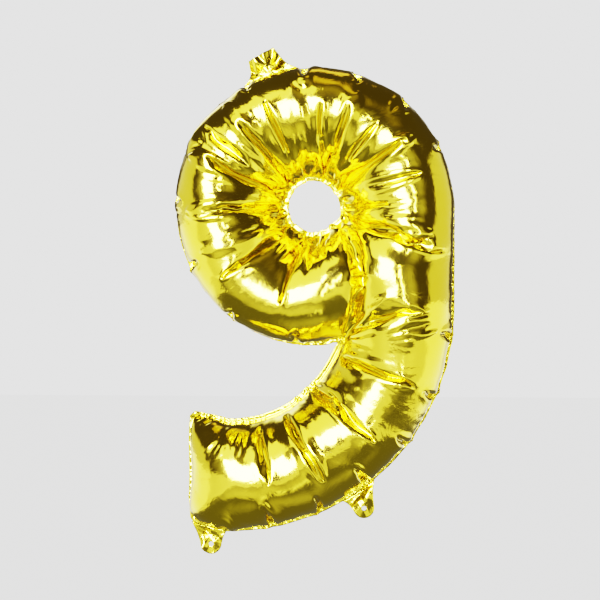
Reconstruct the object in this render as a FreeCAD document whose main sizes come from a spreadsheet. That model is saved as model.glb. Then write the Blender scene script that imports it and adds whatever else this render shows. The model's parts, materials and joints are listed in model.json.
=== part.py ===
"""Foil number balloon, digit nine, nominal 40 cm (16 inch) size, inflated.

Frame: millimetres, +Z up, origin at the centre of the eye (the hole in the bowl of the nine).
The front of the digit faces -Y, so it reads correctly for someone who looks along +Y.

Two film panels are welded together along a flat seam that follows the digit's outline and
its eye. The film itself is about 0.035 mm thick; it is drawn `film` thick so that every ply
is a solid of its own. The weld is the sealant layer between the two plies of the seam.
"""

import FreeCAD, Part
import math
import os

import Sketcher

DIMENSIONS = [
    # alias, value, meaning
    ("bowl_radius", 58.0, "centre of the eye to the middle of the bowl's tube"),
    ("bowl_tube", 35.5, "outside radius of the inflated tube of the bowl"),
    ("stem_tube", 36.5, "outside radius of the inflated tube of the stem"),
    ("stem_drop", 70.0, "straight length of the stem below the eye"),
    ("tail_radius", 118.0, "radius of the curve that leads from the stem to the tail"),
    ("end_length", 24.5, "length over which the tail flattens to its welded end"),
    ("end_rise", 42.0, "tail axis to the top corner of the welded end"),
    ("end_fall", 30.0, "tail axis to the bottom corner of the welded end"),
    ("film", 0.3, "drawn thickness of one film ply"),
    ("weld", 0.2, "drawn thickness of the sealant layer between two plies"),
    ("seam_width", 3.0, "width of the flat welded seam"),
    ("eye_hole", 17.5, "radius of the hole punched in the eye"),
    ("fold_room", 0.6, "gap from a seam's edge to the fold line of a tab or of the neck"),
    ("neck_angle", 20.0, "lean of the fill neck to the left of straight up, in degrees"),
    ("neck_width", 24.0, "width of the fill neck"),
    ("neck_length", 17.0, "length of the fill neck beyond its fold line"),
    ("neck_weld", 3.0, "width of each side weld of the fill neck"),
    ("valve_width", 18.0, "width of the self-sealing valve sleeve"),
    ("valve_tip", 5.0, "radius of the valve sleeve's inner end"),
    ("valve_length", 52.0, "length of the valve sleeve"),
    ("tab_width", 20.0, "width of a hanging tab at its fold line"),
    ("tab_tip", 7.0, "radius of a hanging tab's round tip"),
    ("tab_length", 18.0, "length of a hanging tab beyond its fold line"),
    ("tab_hole", 1.75, "radius of the punched hole in a hanging tab"),
    ("tab_sway", 4.0, "sideways offset of a tab's tip from the middle of its root"),
    ("right_tab_angle", 54.5, "place of the right tab on the tail's curve, in degrees"),
]

doc = FreeCAD.newDocument("foil_number_balloon")
sheet = doc.addObject("Spreadsheet::Sheet", "Dims")
for row, (alias, value, meaning) in enumerate(DIMENSIONS, start=1):
    sheet.set(f"A{row}", meaning)
    sheet.set(f"B{row}", str(value))
    sheet.setAlias(f"B{row}", alias)
doc.recompute()

X_AXIS = FreeCAD.Vector(1, 0, 0)
Y_AXIS = FreeCAD.Vector(0, 1, 0)
Z_AXIS = FreeCAD.Vector(0, 0, 1)
ALONG_Y = FreeCAD.Rotation(X_AXIS, -90)  # turns a primitive's own Z to +Y, and its Y to -Z
ALONG_X = FreeCAD.Rotation(Y_AXIS, 90)  # turns a primitive's own Z to +X, and its X to -Z
MARGIN = 20.0  # how far a cutting slab reaches past the balloon


def dim(alias):
    """The value of one driving dimension."""
    return float(sheet.get(alias))


def value_of(formula):
    """The value of a formula on the sheet's aliases."""
    return float(sheet.evalExpression(formula.replace("Dims.", "")))


def bound(kind, name, rotation=None, place=(), **sizes):
    """An object of the document whose sizes and place are bound to the sheet."""
    made = doc.addObject(kind, name)
    if rotation is not None:
        made.Placement = FreeCAD.Placement(FreeCAD.Vector(), rotation)
    for prop, formula in sizes.items():
        made.setExpression(prop, formula)
    for letter, formula in zip("xyz", place):
        made.setExpression(f"Placement.Base.{letter}", formula)
    return made


def joined(name, shapes):
    """One solid from several that overlap."""
    made = doc.addObject("Part::MultiFuse", name)
    made.Shapes = shapes
    made.Refine = True
    return made


def combined(kind, name, base, tool):
    """A Cut or a Common of two objects."""
    made = doc.addObject(kind, name)
    made.Base, made.Tool = base, tool
    made.Refine = True
    return made


# ---------------------------------------------------------------- the inflated digit

TAIL_X = "Dims.bowl_radius - Dims.tail_radius"
TAIL_Z = "-(Dims.stem_drop + Dims.tail_radius)"
END_X = f"{TAIL_X} - Dims.end_length"
END_Z = f"{TAIL_Z} + (Dims.end_rise - Dims.end_fall) / 2"


def inflated_digit(name, inset, end_half_depth):
    """The nine as a round tube: bowl, stem, curved tail and flattened end, all `inset` smaller."""
    stem = f"Dims.stem_tube - {inset}"
    bowl = bound("Part::Torus", f"{name}_bowl", ALONG_Y,
                 Radius1="Dims.bowl_radius", Radius2=f"Dims.bowl_tube - {inset}")
    shoulder = bound("Part::Sphere", f"{name}_shoulder",
                     place=("Dims.bowl_radius", "0", "0"), Radius=stem)
    straight = bound("Part::Cylinder", f"{name}_stem",
                     place=("Dims.bowl_radius", "0", "-Dims.stem_drop"),
                     Radius=stem, Height="Dims.stem_drop")
    curve = bound("Part::Torus", f"{name}_curve", ALONG_Y,
                  place=(TAIL_X, "0", "-Dims.stem_drop"),
                  Radius1="Dims.tail_radius", Radius2=stem, Angle3="90")
    start = bound("Part::Circle", f"{name}_end_start", ALONG_X,
                  place=(TAIL_X, "0", TAIL_Z), Radius=stem)
    finish = bound("Part::Ellipse", f"{name}_end_finish", ALONG_X,
                   place=(END_X, "0", END_Z),
                   MajorRadius=f"(Dims.end_rise + Dims.end_fall) / 2 - {inset}",
                   MinorRadius=end_half_depth)
    end = doc.addObject("Part::Loft", f"{name}_end")
    end.Sections = [start, finish]
    end.Solid = True
    return joined(name, [bowl, shoulder, straight, curve, end])


def y_disc(name, radius, centre=("0", "0"), **more):
    """A disc as thick as the whole seam, its axis along Y."""
    return bound("Part::Cylinder", name, ALONG_Y,
                 place=(centre[0], "-(Dims.weld / 2 + Dims.film)", centre[1]),
                 Radius=radius, Height="Dims.weld + 2 * Dims.film", **more)


def flat_sketch(label):
    """A body with an empty sketch in its XZ plane."""
    body = doc.addObject("PartDesign::Body", label)
    sketch = body.newObject("Sketcher::SketchObject", f"{label}_outline")
    plane = next(f for f in body.Origin.OriginFeatures if f.Role == "XZ_Plane")
    sketch.AttachmentSupport = (plane, [""])
    sketch.MapMode = "FlatFace"
    return body, sketch


def size_sketch(sketch, kind, where, formula):
    """A driving constraint bound to the sheet."""
    at = sketch.addConstraint(Sketcher.Constraint(kind, *where, value_of(formula)))
    sketch.setExpression(f"Constraints[{at}]", formula)


def end_plate():
    """The flat seam around the welded end of the tail, as a padded sketch of four corners."""
    body, sketch = flat_sketch("end_plate")
    half = "Dims.stem_tube + Dims.seam_width"
    reach = "Dims.end_length + Dims.seam_width"
    top, low = "Dims.end_rise + Dims.seam_width", "Dims.end_fall + Dims.seam_width"
    points = [
        FreeCAD.Vector(0, value_of(half), 0),
        FreeCAD.Vector(-value_of(reach), value_of(top), 0),
        FreeCAD.Vector(-value_of(reach), -value_of(low), 0),
        FreeCAD.Vector(0, -value_of(half), 0),
    ]
    for start, finish in zip(points, points[1:] + points[:1]):
        sketch.addGeometry(Part.LineSegment(start, finish))
    for side in range(4):
        sketch.addConstraint(Sketcher.Constraint("Coincident", side, 2, (side + 1) % 4, 1))
    for corner, height in ((0, half), (1, top)):
        size_sketch(sketch, "DistanceY", (-1, 1, corner, 1), height)
    for corner, height in ((2, low), (3, half)):
        size_sketch(sketch, "DistanceY", (corner, 1, -1, 1), height)
    for corner in (1, 2):
        size_sketch(sketch, "DistanceX", (corner, 1, -1, 1), reach)
    for corner in (0, 3):
        sketch.addConstraint(Sketcher.Constraint("PointOnObject", corner, 1, -2))
    pad = body.newObject("PartDesign::Pad", "end_pad")
    pad.Profile = sketch
    pad.Midplane = True
    pad.setExpression("Length", "Dims.weld + 2 * Dims.film")
    body.setExpression("Placement.Base.x", TAIL_X)
    body.setExpression("Placement.Base.z", TAIL_Z)
    return body


def seam_plate():
    """The nine's flat outline, one seam width wider than the inflated tube all round."""
    outside = "Dims.tail_radius + Dims.stem_tube + Dims.seam_width"
    inside = "Dims.tail_radius - Dims.stem_tube - Dims.seam_width"
    tail = (TAIL_X, "-Dims.stem_drop")
    bowl = y_disc("plate_bowl", "Dims.bowl_radius + Dims.bowl_tube + Dims.seam_width")
    shoulder = y_disc("plate_shoulder", "Dims.stem_tube + Dims.seam_width",
                      ("Dims.bowl_radius", "0"))
    stem = bound("Part::Box", "plate_stem",
                 place=("Dims.bowl_radius - Dims.stem_tube - Dims.seam_width",
                        "-(Dims.weld / 2 + Dims.film)", "-Dims.stem_drop"),
                 Length="2 * (Dims.stem_tube + Dims.seam_width)",
                 Width="Dims.weld + 2 * Dims.film", Height="Dims.stem_drop")
    curve = combined("Part::Cut", "plate_curve",
                     y_disc("plate_curve_disc", outside, tail, Angle="90"),
                     y_disc("plate_curve_core", inside, tail, Angle="90"))
    whole = joined("plate_solid", [bowl, shoulder, stem, curve, end_plate()])
    return combined("Part::Cut", "plate", whole, y_disc("plate_eye", "Dims.eye_hole"))


def layer(name, low, high):
    """A slab that spans the balloon in X and Z, and low to high in Y."""
    reach = f"(Dims.stem_drop + Dims.tail_radius + Dims.stem_tube + {MARGIN})"
    return bound("Part::Box", name, place=(f"-{reach}", low, f"-{reach}"),
                 Length=f"2 * {reach}", Width=f"{high} - ({low})", Height=f"2 * {reach}")


def on_bowl(angle, radius):
    """A point at `radius` from the eye's centre, `angle` degrees left of straight up."""
    lean = math.radians(angle)
    return FreeCAD.Vector(-radius * math.sin(lean), 0, radius * math.cos(lean))


def turned(point, angle, y=0.0):
    """The place of a flat piece: its own -Z turned by `angle` degrees about +Y, moved to point."""
    base = FreeCAD.Vector(point.x, y, point.z)
    return FreeCAD.Placement(base, FreeCAD.Rotation(Y_AXIS, angle))


skin = combined("Part::Cut", "skin",
                joined("skin_outside",
                       [inflated_digit("outside", "0", "Dims.weld / 2 + Dims.film"),
                        seam_plate()]),
                inflated_digit("inside", "Dims.film", "Dims.weld / 2"))

DEPTH = f"(Dims.stem_tube + {MARGIN})"
front_panel = combined("Part::Common", "front_panel", skin,
                       layer("front_half", f"-{DEPTH}", "-Dims.weld / 2"))
rear_panel = combined("Part::Common", "rear_panel", skin,
                      layer("rear_half", "Dims.weld / 2", DEPTH))
welds = combined("Part::Common", "welds", skin,
                 layer("weld_layer", "-Dims.weld / 2", "Dims.weld / 2"))
eye_zone = y_disc("eye_zone", "Dims.bowl_radius")
eye_seam_weld = combined("Part::Common", "eye_seam_weld", welds, eye_zone)

SEAM_EDGE = dim("bowl_radius") + dim("bowl_tube") + dim("seam_width")
NECK_ANGLE = dim("neck_angle")
neck_passage = bound("Part::Box", "neck_passage",
                     Length="Dims.valve_width", Width="Dims.weld", Height="Dims.valve_length")
passage_corner = FreeCAD.Vector(-dim("valve_width") / 2, -dim("weld") / 2, -dim("valve_length"))
neck_passage.Placement = turned(on_bowl(NECK_ANGLE, SEAM_EDGE), -NECK_ANGLE).multiply(
    FreeCAD.Placement(passage_corner, FreeCAD.Rotation()))
outer_seam_weld = combined("Part::Cut", "outer_seam_weld",
                           combined("Part::Cut", "outer_weld_whole", welds, eye_zone),
                           neck_passage)


# ---------------------------------------------------------------- flat film pieces


def touching_point(start, centre, radius):
    """Where a line from start touches the circle, on the side away from the circle's middle."""
    reach = start.sub(centre)
    outward = 1 if start.x > 0 else -1
    turn = math.acos(radius / reach.Length)
    angle = math.atan2(reach.y, reach.x) - outward * turn
    return FreeCAD.Vector(centre.x + radius * math.cos(angle),
                          centre.y + radius * math.sin(angle), 0)


def tongue(label, root, tip, length, thickness, hole=None, sway=None, sway_side=1):
    """A flat tongue in the XZ plane: straight root on Z = 0, round tip below, thickness to -Y.

    root, tip, length, hole and sway are aliases of the sheet: the root's width, the tip's radius,
    the whole length, the radius of a hole at the tip's centre, and how far the tip's centre lies
    from the root's middle, to +X where sway_side is 1 and to -X where it is -1.
    """
    body, sketch = flat_sketch(label)
    half, radius, drop = dim(root) / 2, dim(tip), dim(length) - dim(tip)
    centre = FreeCAD.Vector(sway_side * dim(sway) if sway else 0.0, -drop, 0)
    right, left = FreeCAD.Vector(half, 0, 0), FreeCAD.Vector(-half, 0, 0)
    low_left, low_right = (touching_point(p, centre, radius) for p in (left, right))
    angles = [math.atan2(p.y - centre.y, p.x - centre.x) for p in (low_left, low_right)]
    circle = Part.Circle(centre, FreeCAD.Vector(0, 0, 1), radius)
    sketch.addGeometry(Part.LineSegment(right, left))
    sketch.addGeometry(Part.LineSegment(left, low_left))
    sketch.addGeometry(Part.ArcOfCircle(circle, angles[0], angles[1]))
    sketch.addGeometry(Part.LineSegment(low_right, right))
    sketch.addConstraint(Sketcher.Constraint("Coincident", 0, 2, 1, 1))
    sketch.addConstraint(Sketcher.Constraint("Tangent", 1, 2, 2, 1))
    sketch.addConstraint(Sketcher.Constraint("Tangent", 2, 2, 3, 1))
    sketch.addConstraint(Sketcher.Constraint("Coincident", 3, 2, 0, 1))
    sketch.addConstraint(Sketcher.Constraint("Symmetric", 0, 1, 0, 2, -1, 1))
    sketch.addConstraint(Sketcher.Constraint("PointOnObject", 0, 1, -1))
    size_sketch(sketch, "DistanceX", (0, 2, 0, 1), f"Dims.{root}")
    size_sketch(sketch, "Radius", (2,), f"Dims.{tip}")
    size_sketch(sketch, "DistanceY", (2, 3, -1, 1), f"Dims.{length} - Dims.{tip}")
    if sway:
        pair = (-1, 1, 2, 3) if sway_side > 0 else (2, 3, -1, 1)
        size_sketch(sketch, "DistanceX", pair, f"Dims.{sway}")
    else:
        sketch.addConstraint(Sketcher.Constraint("PointOnObject", 2, 3, -2))
    if hole:
        sketch.addGeometry(Part.Circle(centre, FreeCAD.Vector(0, 0, 1), dim(hole)))
        sketch.addConstraint(Sketcher.Constraint("Coincident", 4, 3, 2, 3))
        size_sketch(sketch, "Radius", (4,), f"Dims.{hole}")
    pad = body.newObject("PartDesign::Pad", f"{label}_pad")
    pad.Profile = sketch
    pad.setExpression("Length", thickness)
    return body


FILM, WELD = dim("film"), dim("weld")

# The valve sleeve: two clear films that hang from the neck's root into the bowl.
valve_films = []
for label, front_y in (("valve_front_film", 0.0), ("valve_rear_film", WELD / 2)):
    ply = tongue(label, "valve_width", "valve_tip", "valve_length", "Dims.weld / 2")
    ply.Placement = turned(on_bowl(NECK_ANGLE, SEAM_EDGE), -NECK_ANGLE, front_y)
    valve_films.append(ply)

# The fill neck: two film plies welded along both sides, open between them to the valve.
FOLD_ROOM = dim("fold_room")
neck_root = turned(on_bowl(NECK_ANGLE, SEAM_EDGE + 2 * FOLD_ROOM), -NECK_ANGLE)


def neck_strip(label, corner, width, thickness):
    """A flat strip of the neck that starts at corner, given from the middle of the neck's root."""
    strip = bound("Part::Box", label, Length=width, Width=thickness, Height="Dims.neck_length")
    strip.Placement = neck_root.multiply(FreeCAD.Placement(corner, FreeCAD.Rotation()))
    return strip


NECK_SIDE = dim("neck_width") / 2
neck_front_film = neck_strip("neck_front_film",
                             FreeCAD.Vector(-NECK_SIDE, -WELD / 2 - FILM, 0),
                             "Dims.neck_width", "Dims.film")
neck_rear_film = neck_strip("neck_rear_film", FreeCAD.Vector(-NECK_SIDE, WELD / 2, 0),
                            "Dims.neck_width", "Dims.film")
neck_side_welds = doc.addObject("Part::Compound", "neck_side_welds")
neck_side_welds.Links = [
    neck_strip(f"neck_{side}_weld", FreeCAD.Vector(x, -WELD / 2, 0), "Dims.neck_weld", "Dims.weld")
    for side, x in (("left", -NECK_SIDE), ("right", NECK_SIDE - dim("neck_weld")))
]

# The hanging tabs: front film, sealant and rear film, each punched with the same hole.
END_EDGE_DROP = dim("stem_tube") - dim("end_fall")
END_REACH = dim("end_length") + dim("seam_width")
LEFT_TILT = math.degrees(math.atan2(END_EDGE_DROP, END_REACH))
TAIL_CENTRE = FreeCAD.Vector(dim("bowl_radius") - dim("tail_radius"), 0, -dim("stem_drop"))


def outward_of_tail_end():
    """The middle of the left tab's root, on the sloping lower edge of the tail's end."""
    low = TAIL_CENTRE.z - dim("tail_radius") - dim("stem_tube") - dim("seam_width")
    middle = FreeCAD.Vector(TAIL_CENTRE.x - END_REACH / 2, 0, low + END_EDGE_DROP / 2)
    tilt = math.radians(LEFT_TILT)
    down = FreeCAD.Vector(-math.sin(tilt), 0, -math.cos(tilt))
    return middle.add(down.multiply(2 * FOLD_ROOM))


def outward_of_tail_curve(angle):
    """A point past the seam of the tail's outer curve, `angle` degrees below +X."""
    reach = dim("tail_radius") + dim("stem_tube") + dim("seam_width") + 2 * FOLD_ROOM
    turn = math.radians(angle)
    return TAIL_CENTRE.add(FreeCAD.Vector(reach * math.cos(turn), 0, -reach * math.sin(turn)))


tabs = {
    "left_tab": (outward_of_tail_end(), LEFT_TILT, 1),
    "right_tab": (outward_of_tail_curve(dim("right_tab_angle")), dim("right_tab_angle") - 90, -1),
}
tab_plies = []
for tab, (root, tilt, sway_side) in tabs.items():
    plies = (("front_film", -WELD / 2, "Dims.film"), ("weld", WELD / 2, "Dims.weld"),
             ("rear_film", WELD / 2 + FILM, "Dims.film"))
    for ply_name, back_y, thickness in plies:
        ply = tongue(f"{tab}_{ply_name}", "tab_width", "tab_tip", "tab_length", thickness,
                     "tab_hole", "tab_sway", sway_side)
        ply.Placement = turned(root, tilt, back_y)
        tab_plies.append(ply)

# ---------------------------------------------------------------- check and export

doc.recompute()
parts = [front_panel, rear_panel, outer_seam_weld, eye_seam_weld, *valve_films,
         neck_front_film, neck_rear_film, neck_side_welds, *tab_plies]

for made in doc.Objects:
    if "Invalid" in made.State or "Error" in made.State:
        raise RuntimeError(f"{made.Label} failed: {made.State}")
for piece in parts:
    shape = piece.Shape
    if shape.isNull() or not shape.isValid() or not shape.Solids:
        raise RuntimeError(f"{piece.Label} has no valid solid")

os.makedirs("parts", exist_ok=True)
for piece in parts:
    piece.Shape.exportStep(f"parts/{piece.Label}.step")
    box = piece.Shape.BoundBox
    print(f"{piece.Label}: {len(piece.Shape.Solids)} solid, {piece.Shape.Volume:.1f} mm3, "
          f"x {box.XMin:.1f}..{box.XMax:.1f} y {box.YMin:.2f}..{box.YMax:.2f} "
          f"z {box.ZMin:.1f}..{box.ZMax:.1f}")
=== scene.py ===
"""The look of a gold foil balloon in the shape of the digit nine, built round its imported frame.

The panels are made the way the real ones are. Each is a flat film, a little longer than its smooth
inflated shape wherever it folds. The two are welded together round the digit and round its eye, and
a film simulation blows them up: edges keep their length, the gas pushes the film outwards, and the
spare film has to fold. The neck and the two tabs are flat plies that a hand has creased.

The film is worked out in millimetres, in the frame's own axes, and the meshes are made in metres.
"""

import json
import math

import bpy
import numpy as np
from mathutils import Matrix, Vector
from mathutils.geometry import delaunay_2d_cdt


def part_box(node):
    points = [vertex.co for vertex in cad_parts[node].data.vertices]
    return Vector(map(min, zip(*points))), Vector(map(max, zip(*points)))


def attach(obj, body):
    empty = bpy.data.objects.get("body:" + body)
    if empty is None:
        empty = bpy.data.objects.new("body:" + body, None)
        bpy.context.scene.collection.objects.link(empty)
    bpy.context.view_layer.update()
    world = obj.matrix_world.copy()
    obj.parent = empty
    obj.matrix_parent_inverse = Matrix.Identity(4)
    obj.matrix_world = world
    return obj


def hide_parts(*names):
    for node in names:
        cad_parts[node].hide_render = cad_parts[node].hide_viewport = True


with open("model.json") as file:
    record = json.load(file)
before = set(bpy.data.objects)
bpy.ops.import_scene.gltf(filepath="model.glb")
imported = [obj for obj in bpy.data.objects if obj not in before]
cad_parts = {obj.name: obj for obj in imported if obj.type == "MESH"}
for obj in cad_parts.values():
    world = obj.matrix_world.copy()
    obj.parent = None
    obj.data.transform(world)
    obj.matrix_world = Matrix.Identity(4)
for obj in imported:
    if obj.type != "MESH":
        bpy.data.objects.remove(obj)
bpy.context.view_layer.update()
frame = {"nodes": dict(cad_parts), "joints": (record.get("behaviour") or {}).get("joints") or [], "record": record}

MM = 0.001
FRONT, REAR = -1, 1
# The height of an equal-sided triangle with sides of 1.
TRIANGLE_HEIGHT = 0.866

# ---------------------------------------------------------------- measures read from the frame

JOINTS = {joint["name"]: joint for joint in frame["joints"]}
MOUNTS = {mount["name"]: mount for mount in frame["record"]["mounts"]}


def box_mm(node):
    """The lowest and highest corners of a CAD node, in millimetres."""
    low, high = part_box(node)
    return np.array(low) / MM, np.array(high) / MM


def flat_rings(node):
    """The closed outlines of a flat CAD node's front face, in millimetres on X and Z, longest first."""
    mesh = frame["nodes"][node].data
    points = np.array([vertex.co for vertex in mesh.vertices]) / MM
    on_front = points[:, 1] < points[:, 1].min() + 0.01
    keys = {}
    place = np.array([keys.setdefault((round(x, 2), round(z, 2)), len(keys)) for x, _, z in points])
    plan = np.array(list(keys))
    uses = {}
    for polygon in mesh.polygons:
        corners = list(polygon.vertices)
        if not all(on_front[corner] for corner in corners):
            continue
        corners = [int(place[corner]) for corner in corners]
        for start, end in zip(corners, corners[1:] + corners[:1]):
            uses[(start, end)] = uses.get((start, end), 0) + 1
    after = {start: end for start, end in uses if (end, start) not in uses and start != end}
    rings = []
    while after:
        first = next(iter(after))
        ring = [first]
        while ring[-1] in after:
            ring.append(after.pop(ring[-1]))
        rings.append(plan[ring[:-1] if ring[-1] == first else ring])
    return sorted(rings, key=len_of_ring, reverse=True)


def len_of_ring(ring):
    return float(np.linalg.norm(np.roll(ring, -1, 0) - ring, axis=1).sum())


def anticlockwise(ring):
    following = np.roll(ring, -1, 0)
    area = (ring[:, 0] * following[:, 1] - following[:, 0] * ring[:, 1]).sum()
    return ring if area > 0 else ring[::-1]


def on_circle(radius, degrees):
    angle = np.radians(degrees)
    return np.stack([radius * np.cos(angle), radius * np.sin(angle)], -1)


def hinge(joint):
    """A joint's place in millimetres and its axis, as X, Y, Z."""
    return np.array(JOINTS[joint]["pos_m"]) / MM, np.array(JOINTS[joint]["axis"])


OUTER_EDGE, WELD_LINE = [anticlockwise(ring) for ring in flat_rings("rear_panel")[:2]]
SEAM_WIDTH = OUTER_EDGE[:, 1].max() - WELD_LINE[:, 1].max()
EYE_HOLE = MOUNTS["eye"]["dims"]["r_mm"]
EYE_WELD = EYE_HOLE + SEAM_WIDTH
TUBE_RADIUS = box_mm("rear_panel")[1][1]
# The drawn thickness of one ply, in millimetres.
FILM = 0.12

# ---------------------------------------------------------------- the folds


def ray(degrees, start, end, spare=1.0, width=1.0):
    """A fold that runs outwards from the eye, at an angle from +X, between two radii."""
    (x0, z0), (x1, z1) = on_circle(start, degrees), on_circle(end, degrees)
    return x0, z0, x1, z1, spare, width


# Each fold is its start x, z and end x, z, then its share of spare film and its width.
# The valley is the crease between the bowl and the stem.
VALLEY = [(20, -8, 31, -30, 0.9, 1.6), (31, -30, 32, -63, 0.9, 1.6), (32, -63, 30, -80, 0.9, 1.6),
          (30, -80, 19, -95, 0.9, 1.6)]
# Where the outer seam runs round the bowl and round the tail's outer side.
BOWL_EDGE, TAIL_EDGE, TAIL_CENTRE = 97, 157, (-60, -70)
RIM_SPARE, RIM_SLANT = 0.8, 2
REAR_SEED = 11


def rim_fold(centre, radius, degrees, length, width):
    """A shallow fold that runs inwards from the outer seam, slanting a little."""
    start, end = on_circle(radius, degrees), on_circle(radius - length, degrees + RIM_SLANT)
    return (start[0] + centre[0], start[1] + centre[1], end[0] + centre[0], end[1] + centre[1],
            RIM_SPARE, width)


RIM_FOLDS = [rim_fold((0, 0), BOWL_EDGE, *fold) for fold in (
    (48, 20, 1.2), (71, 15, 1.0), (93, 22, 1.3), (118, 14, 1.0), (149, 17, 1.0), (176, 13, 0.9),
    (205, 15, 1.0), (232, 13, 0.9), (262, 15, 1.0), (24, 14, 0.9))]
RIM_FOLDS += [rim_fold(TAIL_CENTRE, TAIL_EDGE, *fold) for fold in (
    (-8, 12, 0.9), (-24, 14, 0.9), (-38, 13, 0.9), (-52, 18, 1.2), (-66, 15, 1.0), (-79, 22, 1.3),
    (-91, 15, 1.0))]
LONG_RAYS = [
    (100, 22, 75, 1.2, 0.9), (114, 38, 68, 1.0, 0.7), (131, 22, 84, 1.2, 1.0), (144, 36, 81, 1.0, 0.8),
    (158, 20, 82, 1.2, 1.0), (183, 20, 79, 1.2, 1.0), (203, 36, 76, 1.0, 0.8), (219, 20, 70, 1.2, 1.0),
    (254, 20, 60, 1.3, 1.2), (16, 20, 69, 1.2, 0.9), (35, 22, 75, 1.2, 1.0), (52, 36, 62, 0.9, 0.7),
    (68, 22, 75, 1.2, 1.0), (-21, 20, 86, 1.4, 1.0), (-15, 46, 75, 0.9, 0.7), (84, 44, 60, 0.8, 0.6)]
SHORT_RAYS = [
    (88, 20, 34, 0.7), (145, 20, 34, 0.7), (171, 20, 34, 0.7), (200, 20, 34, 0.7),
    (0, 20, 42, 0.9), (236, 20, 34, 0.7), (274, 20, 34, 0.7), (296, 20, 32, 0.7)]
FRONT_FOLDS = [
    *(ray(*fold) for fold in LONG_RAYS + SHORT_RAYS),
    (40, -75, 79, -84, 1.1, 0.9), (40, -66, 70, -72, 0.9, 0.7), (24, -104, 62, -121, 1.2, 1.0),
    (-3, -125, 38, -156, 1.3, 1.0), (-16, -148, 7, -184, 1.3, 1.0), (-36, -157, -30, -186, 1.0, 0.8),
    (-50, -160, -59, -174, 0.8, 0.8), *VALLEY, *RIM_FOLDS]


def rear_folds():
    """The rear panel's folds, spread round the eye with uneven lengths, and down the tail."""
    random = np.random.default_rng(REAR_SEED)
    folds = [ray(angle + random.uniform(-6, 6), 20, random.uniform(58, 84), random.uniform(0.8, 1.3))
             for angle in np.arange(30, 300, 23)]
    folds += [ray(angle + random.uniform(-5, 5), 20, random.uniform(36, 46), 0.8)
              for angle in np.arange(42, 300, 23)]
    folds += [ray(-8, 20, 80, 1.2), ray(12, 20, 60), (28, -73, 72, -90, 0.9, 0.9),
              (18, -110, 58, -130, 1.0, 1.0), (-8, -132, 26, -163, 1.1, 1.0),
              (-22, -152, -8, -186, 1.0, 1.0), (-46, -158, -44, -184, 0.8, 0.8),
              (6, -120, 24, -134, 0.5, 0.8)]
    return folds + VALLEY


FOLDS = {FRONT: FRONT_FOLDS, REAR: rear_folds()}

# ---------------------------------------------------------------- flat film

# The film's own point spacing in millimetres before it is split, and the seed for its loose points.
GRAIN = 3.7
SEED = 3
OUTLINE_GRAIN, EYE_GRAIN, LOOSE_GRAIN = 0.8, 0.6, 0.8
# Random tries for loose points, and how much closer they may lie beside folds and round the eye.
TRIES, CROWDED = 52000, 0.62
FOLD_CROWD, EYE_CROWD = (3, 9), (4, 30)
CELL = 0.7
RELAX_ROUNDS, RELAX = 6, 0.6
SHARP_TURN = 25
# A few triangles are kept just inside the eye's ring to stiffen it. They are not drawn.
EYE_TRIM = 0.985
# Facing stretches of the seam share the gap between them.
GAP_SHARE, SAME_STRETCH, FACING = 0.42, 4, 0.3


def even_ring(ring, step):
    """The ring with evenly spaced points, keeping its sharp corners."""
    ahead, behind = np.roll(ring, -1, 0) - ring, ring - np.roll(ring, 1, 0)
    turn = np.arctan2(behind[:, 0] * ahead[:, 1] - behind[:, 1] * ahead[:, 0], (ahead * behind).sum(1))
    corners = np.where(np.abs(turn) > math.radians(SHARP_TURN))[0]
    ring = np.roll(ring, -corners[0], 0) if len(corners) else ring
    corners = (corners - corners[0]) % len(ring) if len(corners) else np.array([0])
    closed = np.vstack([ring, ring[:1]])
    spaced = []
    for start, end in zip(corners, [*corners[1:], len(ring)]):
        span = closed[start:end + 1]
        along = np.r_[0, np.cumsum(np.linalg.norm(np.diff(span, axis=0), axis=1))]
        places = np.linspace(0, along[-1], max(2, round(along[-1] / step)), endpoint=False)
        spaced.append(np.c_[np.interp(places, along, span[:, 0]), np.interp(places, along, span[:, 1])])
    return np.vstack(spaced)


def flange(ring, width):
    """The ring moved outwards by the seam's width, or less where two stretches face each other."""
    tangent = np.roll(ring, -1, 0) - np.roll(ring, 1, 0)
    tangent /= np.linalg.norm(tangent, axis=1, keepdims=True)
    outward = np.c_[tangent[:, 1], -tangent[:, 0]]
    index = np.arange(len(ring))
    apart = np.abs(index[:, None] - index[None])
    apart = np.minimum(apart, len(ring) - apart)
    gap = np.linalg.norm(ring[:, None] - ring[None], axis=2)
    ahead = np.einsum("ijk,ik->ij", ring[None] - ring[:, None], outward) > FACING * gap
    gap[(apart < SAME_STRETCH) | ~ahead] = np.inf
    return ring + outward * np.minimum(width, GAP_SHARE * gap.min(1))[:, None]


def distance_to_fold(points, fold):
    """How far points are from a fold, how far along it they are, and its direction."""
    start, along = np.array(fold[:2]), np.array(fold[2:4]) - np.array(fold[:2])
    share = np.clip((points - start) @ along / (along @ along), 0, 1)
    distance = np.linalg.norm(points - start - share[:, None] * along, axis=1)
    return distance, share, along / np.linalg.norm(along)


def inside(points, ring):
    x, z = points[:, 0], points[:, 1]
    result = np.zeros(len(points), bool)
    for (ax, az), (bx, bz) in zip(ring, np.roll(ring, -1, 0)):
        if az != bz:
            crosses = (az > z) != (bz > z)
            result[crosses] ^= x[crosses] < (bx - ax) * (z[crosses] - az) / (bz - az) + ax
    return result


def nearest_on(points, ring):
    """Distance to a closed ring, the nearest point on it, and the number of the edge it is on."""
    best, near = np.full(len(points), 1e18), np.zeros((len(points), 2))
    edge = np.zeros(len(points), int)
    for number, (start, end) in enumerate(zip(ring, np.roll(ring, -1, 0))):
        along = end - start
        share = np.clip((points - start) @ along / max(along @ along, 1e-9), 0, 1)
        place = start + share[:, None] * along
        squared = ((points - place) ** 2).sum(1)
        closer = squared < best
        best[closer], near[closer], edge[closer] = squared[closer], place[closer], number
    return np.sqrt(best), near, edge


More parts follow.
